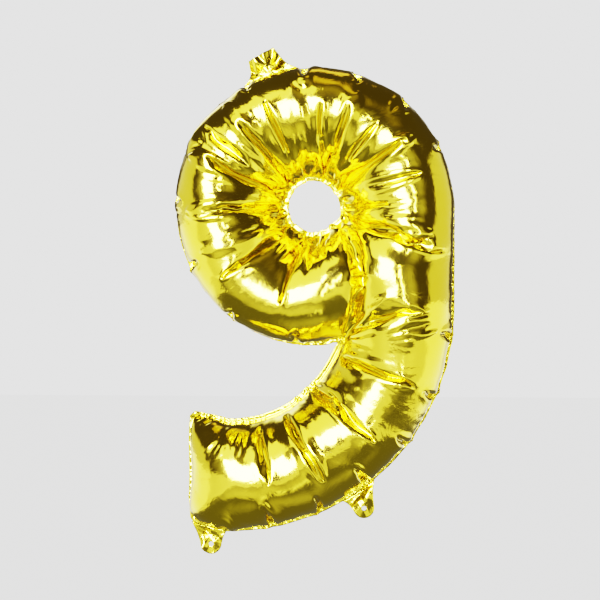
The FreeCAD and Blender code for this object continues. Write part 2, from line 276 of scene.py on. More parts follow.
def scattered(outline, eye, folds, random):
    """Loose film points inside the outline, closer together beside folds and round the eye."""

    def spread(distance, near, run):
        return np.clip(CROWDED + (1 - CROWDED) * (distance - near) / run, CROWDED, 1)

    tries = random.uniform(outline.min(0), outline.max(0), (TRIES, 2))
    tries = tries[inside(tries, outline) & (np.hypot(*tries.T) > EYE_WELD)]
    fold = np.min([distance_to_fold(tries, fold)[0] for fold in folds], axis=0)
    by_eye = np.hypot(*tries.T) - EYE_WELD
    size = LOOSE_GRAIN * GRAIN * np.minimum(spread(fold, *FOLD_CROWD), spread(by_eye, *EYE_CROWD))
    cell, grid, kept = CELL * GRAIN, {}, []
    for x, z in np.vstack([outline, eye]):
        grid.setdefault((int(x // cell), int(z // cell)), []).append((x, z))
    for (x, z), clear in zip(tries.tolist(), size.tolist()):
        column, row = int(x // cell), int(z // cell)
        around = (other for i in range(-2, 3) for j in range(-2, 3)
                  for other in grid.get((column + i, row + j), ()))
        if all((x - a) ** 2 + (z - b) ** 2 >= clear * clear for a, b in around):
            grid.setdefault((column, row), []).append((x, z))
            kept.append((x, z))
    return np.array(kept)


def doubled_area(points, triangles):
    """Twice the area of each flat triangle, negative where it runs clockwise."""
    corner = points[triangles]
    side_a, side_b = corner[:, 1] - corner[:, 0], corner[:, 2] - corner[:, 0]
    return side_a[:, 0] * side_b[:, 1] - side_a[:, 1] * side_b[:, 0]


def triangulated(points, rings):
    """Triangles over points whose first ones are closed rings, given as counts, in order."""
    edges, start = [], 0
    for count in rings:
        edges += [(start + i, start + (i + 1) % count) for i in range(count)]
        start += count
    found, _, triangles, *_ = delaunay_2d_cdt([Vector(point) for point in points], edges, [], 0, 1e-6)
    if len(found) != len(points):
        raise ValueError("the film's rings cross")
    triangles = np.array(triangles)
    turned = doubled_area(points, triangles) < 0
    triangles[turned] = triangles[turned][:, ::-1]
    return triangles


def flat_ply(outline, eye, folds, seed):
    """One panel's loose points and its triangles, counted from the outline's and the eye's points."""
    loose = scattered(outline, eye, folds, np.random.default_rng(seed))
    fixed = np.vstack([outline, eye])
    for turn in range(RELAX_ROUNDS + 1):
        points = np.vstack([fixed, loose])
        triangles = triangulated(points, [len(outline), len(eye)])
        centre = points[triangles].mean(1)
        triangles = triangles[inside(centre, outline) & (np.hypot(*centre.T) > EYE_WELD * EYE_TRIM)]
        if turn < RELAX_ROUNDS:
            middle = neighbour_mean(points, edges_of(triangles))[len(fixed):]
            loose = (1 - RELAX) * loose + RELAX * middle
    return loose, triangles


def sides_of(triangles):
    """Each triangle's three sides, as numbers of points, in the direction they run."""
    return np.vstack([triangles[:, [0, 1]], triangles[:, [1, 2]], triangles[:, [2, 0]]])


def edges_of(triangles):
    return np.unique(np.sort(sides_of(triangles), axis=1), axis=0)


def neighbour_mean(values, edges):
    both = np.vstack([edges, edges[:, ::-1]])
    count = np.maximum(np.bincount(both[:, 0], minlength=len(values)), 1)
    sums = [np.bincount(both[:, 0], values[both[:, 1], k], minlength=len(values))
            for k in range(values.shape[1])]
    return np.stack(sums, 1) / count[:, None]


def ring_band(inner, outer, points):
    """Triangles between two rings of the same count, all facing the same way."""
    here, there = np.arange(len(inner)), (np.arange(len(inner)) + 1) % len(inner)
    band = np.vstack([np.c_[inner[here], inner[there], outer[there]],
                      np.c_[inner[here], outer[there], outer[here]]])
    return band if np.median(doubled_area(points, band)) > 0 else band[:, ::-1]


class Film:
    """Both plies and the welded bands, flat, as points, triangles by group, and named rings."""

    def __init__(self):
        outline = even_ring(WELD_LINE, OUTLINE_GRAIN * GRAIN)
        turns = np.linspace(0, 360, round(2 * math.pi * EYE_WELD / (EYE_GRAIN * GRAIN)), endpoint=False)
        eye = on_circle(EYE_WELD, turns)
        edges = [flange(outline, SEAM_WIDTH), on_circle(EYE_HOLE, turns)]
        plies = [flat_ply(outline, eye, FOLDS[side], SEED + side) for side in (FRONT, REAR)]
        shared = len(outline) + len(eye)
        self.flat = np.vstack([outline, eye, *edges, plies[0][0], plies[1][0]])
        self.groups = {}
        start = 2 * shared
        for side, (loose, triangles) in zip((FRONT, REAR), plies):
            self.groups[side] = np.where(triangles < shared, triangles, triangles - shared + start)
            start += len(loose)
        number = np.arange(2 * shared)
        cuts = [len(outline), shared, shared + len(outline)]
        self.rings = dict(zip(("weld", "eye_weld", "edge", "eye_edge"), np.split(number, cuts)))
        self.groups["outer_band"] = ring_band(self.rings["weld"], self.rings["edge"], self.flat)
        self.groups["eye_band"] = ring_band(self.rings["eye_weld"], self.rings["eye_edge"], self.flat)

    def split(self, shape=None):
        """Cuts every triangle in four, and returns the shape with its new points."""
        triangles = np.vstack(list(self.groups.values()))
        count = len(self.flat)
        sides = np.sort(sides_of(triangles), axis=1)
        keys, first, number = np.unique(sides[:, 0] * count + sides[:, 1],
                                        return_index=True, return_inverse=True)
        ends = sides[first]
        ab, bc, ca = np.split(count + number.reshape(-1), 3)
        a, b, c = triangles.T
        parts = np.stack([np.c_[a, ab, ca], np.c_[ab, b, bc], np.c_[ca, bc, c], np.c_[ab, bc, ca]], 1)
        start = 0
        for name, group in self.groups.items():
            self.groups[name] = parts[start:start + len(group)].reshape(-1, 3)
            start += len(group)
        for name, ring in self.rings.items():
            after = np.roll(ring, -1)
            side = np.minimum(ring, after) * count + np.maximum(ring, after)
            middle = count + np.searchsorted(keys, side)
            self.rings[name] = np.stack([ring, middle], 1).ravel()
        self.flat = np.vstack([self.flat, self.flat[ends].mean(1)])
        return None if shape is None else np.vstack([shape, shape[ends].mean(1)])

    def sides(self):
        """FRONT or REAR for each free film point, and 0 for the welded ones."""
        side = np.zeros(len(self.flat))
        for name in (FRONT, REAR):
            side[self.groups[name].ravel()] = name
        for ring in self.rings.values():
            side[ring] = 0
        return side

    def edges(self):
        return edges_of(np.vstack(list(self.groups.values())))


# ---------------------------------------------------------------- smooth tube and spare film

# Lengths are in millimetres. Spare film and shrinkage are shares of a length.
FOLD_WIDTH, FOLD_TAPER = 4.5, 0.6
SPARE = {"fold": 0.85, "rim": 0.05, "eye": 0.12}
RIM_REACH, EYE_REACH = 9.0, 14.0
EDGE_SHRINK, WELD_SHRINK = 0.07, 0.02
# How near to the valley's line the tube starts to drop, as a share of its radius.
VALLEY_WALL = 0.97
SMOOTH_ROUNDS = 6
# The start of the folds: their depth, the film's unevenness, and the seam's zigzag.
DENT_DEPTH = 1.3
DENT_SEED, UNEVEN = 21, 0.12
ZIGZAG, ZIGZAG_PITCH, ZIGZAG_SPREAD, EDGE_ZIGZAG = 0.5, 0.14, 0.05, 1.3


def smooth_tube(film):
    """The film lifted to a smooth tube that follows the digit, and what each point is nearest to."""
    flat, side = film.flat, film.sides()
    to_outline, near_outline, edge = nearest_on(flat, WELD_LINE)
    radius = np.hypot(*flat.T)
    by_eye = radius - EYE_WELD < to_outline
    away = np.where(by_eye, radius - EYE_WELD, to_outline)
    near = np.where(by_eye[:, None], flat / radius[:, None] * EYE_WELD, near_outline)
    bow = np.clip(away / TUBE_RADIUS, 0, 1) * math.pi / 2
    inward = (flat - near) / np.maximum(away, 1e-6)[:, None]
    reach = np.where(away < TUBE_RADIUS, TUBE_RADIUS * (1 - np.cos(bow)), away)
    plan = np.where((side != 0)[:, None], near + inward * reach[:, None], flat)
    height = TUBE_RADIUS * np.sin(bow)
    for fold in VALLEY:
        from_valley = VALLEY_WALL * TUBE_RADIUS - distance_to_fold(plan, fold)[0]
        wall = np.sqrt(np.maximum(TUBE_RADIUS ** 2 - np.maximum(from_valley, 0) ** 2, 0))
        height = np.minimum(height, wall)
    shape = np.c_[plan[:, 0], side * height, plan[:, 1]]
    edges = film.edges()
    for _ in range(SMOOTH_ROUNDS):
        shape[side != 0] = (0.5 * shape + 0.5 * neighbour_mean(shape, edges))[side != 0]
    tangent = np.roll(WELD_LINE, -1, 0) - WELD_LINE
    tangent /= np.linalg.norm(tangent, axis=1, keepdims=True)
    return shape, away, by_eye, tangent[edge]


def fold_reach(fold, share, narrower=1.0):
    """How far a fold reaches sideways, a share of the way along it."""
    return narrower * FOLD_WIDTH * fold[5] * (1 - FOLD_TAPER * share ** 2)


def squared_excess(share):
    """What a share of spare film adds to the square of a length."""
    return (1 + share) ** 2 - 1


def rest_lengths(film, edges, shape, away, by_eye, tangent):
    """Each film edge's length on the smooth tube, plus the spare film that has to fold."""
    start, end = shape[edges[:, 0]], shape[edges[:, 1]]
    run = end - start
    plan_run, middle = run[:, [0, 2]], (start + end)[:, [0, 2]] / 2
    squared = (run ** 2).sum(1)
    side = film.sides()
    edge_side = side[edges].sum(1)
    for name, folds in FOLDS.items():
        mine = edge_side * name > 0
        most = np.zeros(mine.sum())
        for fold in folds:
            distance, share, along = distance_to_fold(middle[mine], fold)
            reach = fold_reach(fold, share)
            spare = SPARE["fold"] * fold[4] * np.exp(-(distance / reach) ** 2)
            across = plan_run[mine] @ np.array([-along[1], along[0]])
            most = np.maximum(most, squared_excess(spare) * across ** 2)
        squared[mine] += most
    depth = away[edges].min(1)
    spare = SPARE["rim"] * np.exp(-(depth / RIM_REACH) ** 2)
    along_rim = (plan_run * tangent[edges[:, 0]]).sum(1)
    squared += np.where(by_eye[edges[:, 0]], 0, squared_excess(spare) * along_rim ** 2)
    radius = np.hypot(*middle.T)
    round_eye = (plan_run[:, 1] * middle[:, 0] - plan_run[:, 0] * middle[:, 1]) / radius
    spare = SPARE["eye"] * np.exp(-((radius - EYE_HOLE) / EYE_REACH) ** 2)
    squared += squared_excess(spare) * round_eye ** 2
    for name, shrunk in (("edge", EDGE_SHRINK), ("weld", WELD_SHRINK)):
        on_ring = np.zeros(len(shape), bool)
        on_ring[film.rings[name]] = True
        squared[on_ring[edges].all(1)] *= (1 - shrunk) ** 2
    return np.sqrt(squared)


def dented(film, shape):
    """The tube with its folds started: a groove along each, and a little unevenness everywhere."""
    side, random = film.sides(), np.random.default_rng(DENT_SEED)
    for name, folds in FOLDS.items():
        mine = side == name
        deepest = np.zeros(mine.sum())
        for fold in folds:
            distance, share, _ = distance_to_fold(shape[mine][:, [0, 2]], fold)
            reach = fold_reach(fold, share)
            dent = DENT_DEPTH * reach * fold[4] * np.exp(-(distance / reach) ** 2)
            deepest = np.maximum(deepest, dent)
        shape[mine, 1] -= name * SPARE["fold"] * deepest
    shape[side != 0, 1] += random.normal(0, UNEVEN, (side != 0).sum())
    waves = np.fft.rfft(random.normal(0, 1, len(film.rings["weld"])))
    pitch = np.fft.rfftfreq(len(film.rings["weld"]))
    band = np.exp(-((pitch - ZIGZAG_PITCH) / ZIGZAG_SPREAD) ** 2)
    zigzag = np.fft.irfft(waves * band, len(film.rings["weld"]))
    zigzag *= ZIGZAG / zigzag.std()
    shape[film.rings["weld"], 1] += zigzag
    shape[film.rings["edge"], 1] += EDGE_ZIGZAG * zigzag
    return shape


# ---------------------------------------------------------------- inflation

# The gas's push and the film's stiffness, per step of the simulation.
GAS = 0.0016
BENDING, FINE_BENDING = 0.05, 0.04
DAMPING = 0.985
QUICK_STEPS, COARSE_STEPS, FINE_STEPS = 250, 550, 120
EASE_STEPS = 150
EDGE_SEED = 5
# A closed fold is narrower than the film it was made from, and the gas can't push inside it.
CLOSED_FOLD = 0.6
# How firmly the flat seam stays flat, and how strongly it is drawn back to its long curves.
FLANGE_HOLD, FLANGE_FLAT = 0.25, 0.8
GUIDE = 0.03
SEAM_FREEDOM, EYE_FREEDOM = 24, 40
# Film further than this from every weld keeps off the middle plane by the clearance.
CLEAR_OF_WELDS, CLEARANCE = 12, 0.4
# How near to a hinge's line the seam's points have to be, and its plies' root points.
PIN_REACH, ROOT_BAND = 4, 1


def fold_line_pins(film):
    """Edge points at the roots of the neck and tabs, and where they lie along the joints' axes."""
    numbers, places = [], []
    ring = film.rings["edge"]
    plan = film.flat[ring]
    for joint, ply in (("neck_fold", "neck_front_film"), ("left_tab_fold", "left_tab_front_film"),
                       ("right_tab_fold", "right_tab_front_film")):
        position, axis = hinge(joint)
        root = flat_rings(ply)[0] - position[[0, 2]]
        off_line = np.abs(root @ np.array([-axis[2], axis[0]]))
        half = np.abs((root @ axis[[0, 2]])[off_line < off_line.min() + ROOT_BAND]).max()
        along = (plan - position[[0, 2]]) @ axis[[0, 2]]
        off_line = np.abs((plan - position[[0, 2]]) @ np.array([-axis[2], axis[0]]))
        at_root = np.where((np.abs(along) < half) & (off_line < PIN_REACH))[0]
        numbers.append(ring[at_root])
        places.append(position + along[at_root][:, None] * axis)
    return np.concatenate(numbers), np.vstack(places)


def batches_of(edges, count):
    """Groups of edge numbers in which no two edges share a point."""
    used, colour = [0] * count, np.zeros(len(edges), int)
    for number, (a, b) in enumerate(edges.tolist()):
        taken = used[a] | used[b]
        free = (~taken & (taken + 1)).bit_length() - 1
        colour[number] = free
        used[a] |= 1 << free
        used[b] |= 1 << free
    batches = [np.where(colour == c)[0] for c in range(colour.max() + 1)]
    return [batch[np.argsort(edges[batch, 0])] for batch in batches]


def neighbour_table(edges, count):
    """Each point's neighbours in equal rows, filled up with the point itself, and how many are real."""
    both = np.vstack([edges, edges[:, ::-1]])
    both = both[np.argsort(both[:, 0], kind="stable")]
    degree = np.bincount(both[:, 0], minlength=count)
    table = np.tile(np.arange(count)[:, None], (1, degree.max()))
    start = np.r_[0, np.cumsum(degree)[:-1]]
    table[both[:, 0], np.arange(len(both)) - start[both[:, 0]]] = both[:, 1]
    return table, degree.astype(np.float32)[:, None]


def fold_relief(film, shape):
    """The share of the gas's push that a point feels: little inside a closed fold."""
    side, relief = film.sides(), np.ones(len(shape))
    for name, folds in FOLDS.items():
        mine = side == name
        for fold in folds:
            distance, share, _ = distance_to_fold(shape[mine][:, [0, 2]], fold)
            reach = fold_reach(fold, share, CLOSED_FOLD)
            relief[mine] = np.minimum(relief[mine], 1 - np.exp(-(distance / reach) ** 2))
    return relief


def settle(film, shape, measures, steps, bending, ease):
    """Blows the film up: pressure and inertia first, then every edge back to its own length."""
    count = len(film.flat)
    edges = film.edges()
    edges = edges[np.random.default_rng(EDGE_SEED).permutation(len(edges))]
    rest = rest_lengths(film, edges, *measures).astype(np.float32)
    batches = [(edges[batch, 0].copy(), edges[batch, 1].copy(), rest[batch].copy())
               for batch in batches_of(edges, count)]
    table, degree = neighbour_table(edges, count)
    padding = table.shape[1] - degree

    def curl(values):
        return (values[table].sum(1) - values * padding) / degree - values

    faces = np.vstack([film.groups[FRONT], film.groups[REAR][:, ::-1]])
    corner = faces.ravel()
    order = np.argsort(corner, kind="stable")
    face_of_corner = np.repeat(np.arange(len(faces)), 3)[order]
    pressed, first = np.unique(corner[order], return_index=True)
    push = GAS / (float(np.median(rest)) ** 2 * TRIANGLE_HEIGHT) / 6
    push = (push * fold_relief(film, shape)[pressed][:, None]).astype(np.float32)
    pins, places = fold_line_pins(film)
    x = shape.astype(np.float32)
    speed = np.zeros_like(x)
    places, origins = places.astype(np.float32), x[pins].copy()
    goals = {name: np.insert(film.flat[ring], 1, 0, axis=1).astype(np.float32)
             for name, ring in film.rings.items()}
    flange_run = {film.rings[edge][0]: (goals[edge] - goals[line])
                  for edge, line in (("edge", "weld"), ("eye_edge", "eye_weld"))}
    away, side = measures[1], film.sides()
    front = np.where((side == FRONT) & (away > CLEAR_OF_WELDS))[0]
    rear = np.where((side == REAR) & (away > CLEAR_OF_WELDS))[0]
    for step in range(steps):
        normal = np.cross(x[faces[:, 1]] - x[faces[:, 0]], x[faces[:, 2]] - x[faces[:, 0]])
        speed *= DAMPING
        speed[pressed] += np.add.reduceat(normal[face_of_corner], first, axis=0) * push
        old = x.copy()
        x += speed
        x -= bending * curl(curl(x))
        for name, ring in film.rings.items():
            pitch = np.fft.rfftfreq(len(ring))
            freedom = EYE_FREEDOM if name.startswith("eye") else SEAM_FREEDOM
            long_waves = np.exp(-2 * (pitch * freedom) ** 2)[:, None]
            drift = np.fft.rfft(x[ring] - goals[name], axis=0) * long_waves
            x[ring] -= (GUIDE * np.fft.irfft(drift, len(ring), axis=0)).astype(np.float32)
        for edge, line in (("edge", "weld"), ("eye_edge", "eye_weld")):
            edge, line = film.rings[edge], film.rings[line]
            flat_flange = x[line] + flange_run[edge[0]]
            flat_flange[:, 1] *= FLANGE_FLAT
            x[edge] += FLANGE_HOLD * (flat_flange - x[edge])
        for a, b, length in batches:
            run = x[b] - x[a]
            now = np.sqrt(np.einsum("ij,ij->i", run, run)) + 1e-9
            share = (0.5 * (1 - length / now))[:, None] * run
            x[a] += share
            x[b] -= share
        share = min(1.0, (step + 1) / ease)
        x[pins] = origins * (1 - share) + places * share
        x[front, 1] = np.minimum(x[front, 1], -CLEARANCE)
        x[rear, 1] = np.maximum(x[rear, 1], CLEARANCE)
        speed = x - old
    return x.astype(float)


def inflated():
    """The whole film blown up, first coarse, then fine."""
    film = Film()
    film.split()
    measures = smooth_tube(film)
    steps = COARSE_STEPS
    shape = settle(film, dented(film, measures[0].copy()), measures, steps, BENDING, EASE_STEPS)
    shape = film.split(shape)
    shape = settle(film, shape, smooth_tube(film), FINE_STEPS, FINE_BENDING, 1)
    return film, shape


# ---------------------------------------------------------------- materials


HAZE = 0.09, 0.14
COAT, CRINKLE = 0.6, 0.08


def new_material(name):
    material = bpy.data.materials.new(name)
    material.use_nodes = True
    return material, material.node_tree.nodes, material.node_tree.links


def foil_material(name, colour):
    """Metallised film with a lacquer: a mirror, faintly creased all over, with a little haze."""
    material, nodes, links = new_material(name)
    shader = nodes["Principled BSDF"]
    shader.inputs["Metallic"].default_value = 1.0
    place = nodes.new("ShaderNodeTexCoord")
    creases = nodes.new("ShaderNodeTexNoise")
    creases.inputs["Scale"].default_value = 95
    creases.inputs["Detail"].default_value = 3
    creases.inputs["Roughness"].default_value = 0.55
    creases.inputs["Distortion"].default_value = 0.6
    bump = nodes.new("ShaderNodeBump")
    bump.inputs["Strength"].default_value = CRINKLE
    bump.inputs["Distance"].default_value = 0.004
    links.new(place.outputs["Object"], creases.inputs["Vector"])
    links.new(creases.outputs["Fac"], bump.inputs["Height"])
    links.new(bump.outputs["Normal"], shader.inputs["Normal"])
    haze = nodes.new("ShaderNodeMapRange")
    haze.inputs["To Min"].default_value = HAZE[0]
    haze.inputs["To Max"].default_value = HAZE[1]
    shader.inputs["Coat Weight"].default_value = COAT
    shader.inputs["Coat IOR"].default_value = 1.35
    shader.inputs["Coat Roughness"].default_value = 0.22
    patches = nodes.new("ShaderNodeTexNoise")
    patches.inputs["Scale"].default_value = 22
    patches.inputs["Detail"].default_value = 4
    links.new(place.outputs["Object"], patches.inputs["Vector"])
    links.new(patches.outputs["Fac"], haze.inputs["Value"])
    links.new(haze.outputs["Result"], shader.inputs["Roughness"])
    tint = nodes.new("ShaderNodeValToRGB")
    tint.color_ramp.elements[0].color = (*colour[0], 1)
    tint.color_ramp.elements[1].color = (*colour[1], 1)
    tint.color_ramp.elements[0].position = 0.35
    tint.color_ramp.elements[1].position = 0.65
    links.new(patches.outputs["Fac"], tint.inputs["Fac"])
    links.new(tint.outputs["Color"], shader.inputs["Base Color"])
    return material


def film_material(name, colour, alpha, roughness):
    """Clear or milky plastic film with faint ripples."""
    material, nodes, links = new_material(name)
    shader = nodes["Principled BSDF"]
    shader.inputs["Base Color"].default_value = (*colour, 1)
    shader.inputs["Roughness"].default_value = roughness
    shader.inputs["Alpha"].default_value = alpha
    place = nodes.new("ShaderNodeTexCoord")
    ripples = nodes.new("ShaderNodeTexNoise")
    ripples.inputs["Scale"].default_value = 180
    ripples.inputs["Detail"].default_value = 3
    bump = nodes.new("ShaderNodeBump")
    bump.inputs["Strength"].default_value = 0.2
    bump.inputs["Distance"].default_value = 0.001
    links.new(place.outputs["Object"], ripples.inputs["Vector"])
    links.new(ripples.outputs["Fac"], bump.inputs["Height"])
    links.new(bump.outputs["Normal"], shader.inputs["Normal"])
    return material


GOLD = foil_material("gold_foil_lacquer", [(0.92, 0.721, 0.052), (0.96, 0.769, 0.068)])
SEALANT = film_material("heat_sealed_layer", (0.75, 0.66, 0.35), 1.0, 0.45)
CLEAR = film_material("clear_valve_film", (0.9, 0.9, 0.88), 0.45, 0.15)

# ---------------------------------------------------------------- pieces


def mesh_piece(name, points, faces, material, body, nodes):
    """A mesh from points in millimetres, riding on a body in place of its CAD nodes."""
    mesh = bpy.data.meshes.new(name)
    mesh.from_pydata((np.asarray(points) * MM).tolist(), [], faces.tolist())
    mesh.polygons.foreach_set("use_smooth", [True] * len(mesh.polygons))
    mesh.materials.append(material)
    mesh.validate()
    piece = bpy.data.objects.new(name, mesh)
    bpy.context.scene.collection.objects.link(piece)
    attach(piece, body)
    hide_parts(*nodes)
    return piece


def point_normals(points, triangles):
    normal = np.cross(points[triangles[:, 1]] - points[triangles[:, 0]],
                      points[triangles[:, 2]] - points[triangles[:, 0]])
    total = np.stack([np.bincount(triangles.ravel(), np.repeat(normal[:, k], 3), minlength=len(points))
                      for k in range(3)], 1)
    return total / np.maximum(np.linalg.norm(total, axis=1, keepdims=True), 1e-12)


def shell(points, triangles, low, high):
    """A closed sheet between two heights above a surface, measured along its normals."""
    used, small = np.unique(triangles, return_inverse=True)
    triangles = small.reshape(-1, 3)
    points = points[used]
    normal = point_normals(points, triangles)
    count = len(points)
    runs = sides_of(triangles)
    keys = runs[:, 0] * count + runs[:, 1]
    rim = runs[~np.isin(keys, runs[:, 1] * count + runs[:, 0])]
    walls = np.vstack([np.c_[rim[:, 0], rim[:, 0] + count, rim[:, 1]],
                       np.c_[rim[:, 1], rim[:, 0] + count, rim[:, 1] + count]])
    faces = np.vstack([triangles, triangles[:, ::-1] + count, walls])
    return np.vstack([points + high * normal, points + low * normal]), faces


def make_envelope():
    """The two foil panels and the weld layers between their edges."""
    film, shape = inflated()
    half_weld = (box_mm("outer_seam_weld")[1][1] - box_mm("outer_seam_weld")[0][1]) / 2
    bands = [film.groups["outer_band"], film.groups["eye_band"]]
    for side, name, node in ((FRONT, "front_foil", "front_panel"), (REAR, "rear_foil", "rear_panel")):
        ply = film.groups[side]
        in_eye = inside(film.flat[ply].mean(1), film.flat[film.rings["eye_weld"]])
        triangles = np.vstack([ply[~in_eye], *bands])
        triangles = triangles if side == FRONT else triangles[:, ::-1]
        points, faces = shell(shape, triangles, half_weld, half_weld + FILM)
        mesh_piece(name, points, faces, GOLD, "envelope", [node])
    for name, band in (("outer_seam_weld", bands[0]), ("eye_seam_weld", bands[1])):
        points, faces = shell(shape, band, -half_weld, half_weld)
        mesh_piece(name + "_layer", points, faces, SEALANT, "envelope", [name])


PLY_GRAIN, HOLE_GRAIN = 0.8, 0.6
GRID_SHAKE, EDGE_CLEAR, HOLE_CLEAR = 0.12, 0.45, 0.4
# Near its root a ply is squeezed off the seam, follows the seam's curve and loses its creases.
ROOT_REACH, ROOT_SAG_REACH, ROOT_FADE = 2.0, 5.0, 2.5
HALF_WELD = 0.1
# Triangles smaller than this lie between the points of one straight side, and aren't film.
SLIVER = 0.01 * PLY_GRAIN ** 2


def lattice(ring, step, random):
    """Loose points on a slightly shaken triangular grid, inside a ring and clear of it."""
    low, high = ring.min(0), ring.max(0)
    rows = np.arange(low[1], high[1], step * TRIANGLE_HEIGHT)
    points = np.array([(x + step / 2 * (number % 2), z) for number, z in enumerate(rows)
                       for x in np.arange(low[0], high[0], step)])
    points += random.uniform(-GRID_SHAKE, GRID_SHAKE, points.shape) * step
    return points[inside(points, ring) & (nearest_on(points, ring)[0] > EDGE_CLEAR * step)]


def creased(across, outward, creases, depth):
    """How far a handled ply stands off its plane: flat facets between random straight creases."""
    lift = np.zeros(len(across))
    for angle, offset, height, reach in creases:
        distance = across * math.cos(angle) + outward * math.sin(angle) - offset
        lift += height * (np.minimum(np.abs(distance) / reach, 1) - 0.5)
    return depth * lift * (1 - np.exp(-(np.maximum(outward, 0) / ROOT_FADE) ** 2))


def gathered(across, outward, half_width, length, gather):
    """A flat ply spread sideways at its root and pulled in at its end, where it is also slanted."""
    root_flare, flare_reach, end_squeeze, lean, slant = gather
    place, share = across / half_width, outward / length
    wide = 1 - end_squeeze * share ** 2 + root_flare * np.exp(-outward / flare_reach)
    across = half_width * (place * wide + lean * (1 - share / 2))
    sag = across ** 2 / (2 * BOWL_EDGE) * np.exp(-outward / ROOT_SAG_REACH)
    return across, outward * (1 - slant * (1 - place) / 2) - sag


def random_creases(random, count, length, half_width, tilt):
    """Creases across a ply: mostly along its length, leaning either way by up to the tilt."""
    return [(random.uniform(-tilt, tilt),
             random.uniform(-half_width, half_width) + random.uniform(-2, 2),
             random.choice([-1, 1]) * random.uniform(0.6, 1.2), random.uniform(2.5, 0.5 * length))
            for _ in range(count)]


def flat_layer(ring, holes, seed):
    """A flat ply inside a ring and outside its holes, as points and triangles."""
    edges = [even_ring(ring, PLY_GRAIN)] + [even_ring(hole, PLY_GRAIN * HOLE_GRAIN) for hole in holes]
    loose = lattice(edges[0], PLY_GRAIN, np.random.default_rng(seed))
    for hole in edges[1:]:
        loose = loose[~inside(loose, hole) & (nearest_on(loose, hole)[0] > HOLE_CLEAR * PLY_GRAIN)]
    flat = np.vstack([*edges, loose])
    triangles = triangulated(flat, [len(edge) for edge in edges])
    centre = flat[triangles].mean(1)
    keep = inside(centre, edges[0]) & (doubled_area(flat, triangles) > SLIVER)
    for hole in edges[1:]:
        keep &= ~inside(centre, hole)
    return flat, triangles[keep]


def make_flap(body, joint, layers, seed, count, depth, tilt, gather):
    """The layers of the neck or of a tab, creased together, with their root on the fold line."""
    position, axis = hinge(joint)
    origin, along = position[[0, 2]], axis[[0, 2]]
    out = np.array([-along[1], along[0]])
    first_ring = flat_rings(layers[0][0])[0] - origin
    out = out if (first_ring @ out).mean() > 0 else -out
    length, half_width = (first_ring @ out).max(), np.abs(first_ring @ along).max()
    creases = random_creases(np.random.default_rng(seed), count, length, half_width, tilt)
    for node, low, high, material, slot in layers:
        rings = [anticlockwise(ring) for ring in flat_rings(node)]
        holes = [ring for ring in rings[1:] if inside(ring[:1], rings[0])[0]]
        solids = [ring for ring in rings if not any(ring is hole for hole in holes)]
        points, faces, total = [], [], 0
        for ring in solids:
            flat, triangles = flat_layer(ring, holes, seed)
            across, outward = (flat - origin) @ along, (flat - origin) @ out
            root = outward.min()
            squeezed = np.maximum(outward - root, 0) * ROOT_REACH / (ROOT_REACH - root)
            outward = np.where(outward < ROOT_REACH, squeezed, outward)
            across, outward = gathered(across, outward, half_width, length, gather)
            lift = creased(across, outward, creases, depth)
            plan = origin + across[:, None] * along + outward[:, None] * out
            sheet = np.c_[plan[:, 0], lift, plan[:, 1]]
            solid_points, solid_faces = shell(sheet, triangles, low, high)
            points.append(solid_points)
            faces.append(solid_faces + total)
            total += len(solid_points)
        mesh_piece(node + "_creased", np.vstack(points), np.vstack(faces), material, body, [node])


def make_flaps():
    """The fill neck and the two punched hanging tabs."""
    outer, inner = HALF_WELD + FILM, HALF_WELD
    for body, weld, seed, count, depth, tilt, gather in (
            ("fill_neck", "neck_side_welds", 5, 24, 1.7, 1.1, (0.75, 3.0, 0.2, 0.25, 0.2)),
            ("left_tab", "left_tab_weld", 8, 16, 1.1, 1.4, (0.3, 4.0, 0.0, 0.0, 0.0)),
            ("right_tab", "right_tab_weld", 13, 16, 1.1, 1.4, (0.35, 4.0, 0.0, 0.0, 0.0))):
        stem = body.replace("fill_", "")
        make_flap(body, stem + "_fold", [(stem + "_front_film", inner, outer, GOLD, "gold_foil"),
                                (weld, -inner, inner, SEALANT, "sealant"),
                                (stem + "_rear_film", -outer, -inner, GOLD, "gold_foil")],
                  seed, count, depth, tilt, gather)


make_envelope()
make_flaps()
for valve_film in ("valve_front_film", "valve_rear_film"):
    frame["nodes"][valve_film].data.materials[0] = CLEAR

# ---------------------------------------------------------------- floor, lights and camera

VIEW_CENTRE = Vector((-9.8, 0, -65.1)) * MM
VIEW_WIDTH = 420 * MM
LENS, SENSOR = 100, 36
AZIMUTH, ELEVATION = 4.0, 1.0
FLOOR_DROP = 1.2
EXPOSURE = 0.28


def toward(azimuth, elevation):
    """A direction from the object, with azimuth 0 at the front and 90 at +X."""
    a, e = math.radians(azimuth), math.radians(elevation)
    return Vector((math.sin(a) * math.cos(e), -math.cos(a) * math.cos(e), math.sin(e)))


def make_camera():
    data = bpy.data.cameras.new("camera")
    data.lens, data.sensor_width = LENS, SENSOR
    camera = bpy.data.objects.new("camera", data)
    back = toward(AZIMUTH, ELEVATION)
    camera.location = VIEW_CENTRE + back * (VIEW_WIDTH * LENS / SENSOR)
    camera.rotation_mode = "QUATERNION"
    camera.rotation_quaternion = (-back).to_track_quat("-Z", "Y")
    bpy.context.scene.collection.objects.link(camera)
    bpy.context.scene.camera = camera


def softbox(name, azimuth, elevation, distance, width, height, power):
    data = bpy.data.lights.new(name, "AREA")
    data.shape = "RECTANGLE"
    data.size, data.size_y = width, height
    data.energy = power
    light = bpy.data.objects.new(name, data)
    back = toward(azimuth, elevation)
    light.location = VIEW_CENTRE + back * distance
    light.rotation_mode = "QUATERNION"
    light.rotation_quaternion = back.to_track_quat("Z", "Y")
    light.visible_camera = False
    bpy.context.scene.collection.objects.link(light)


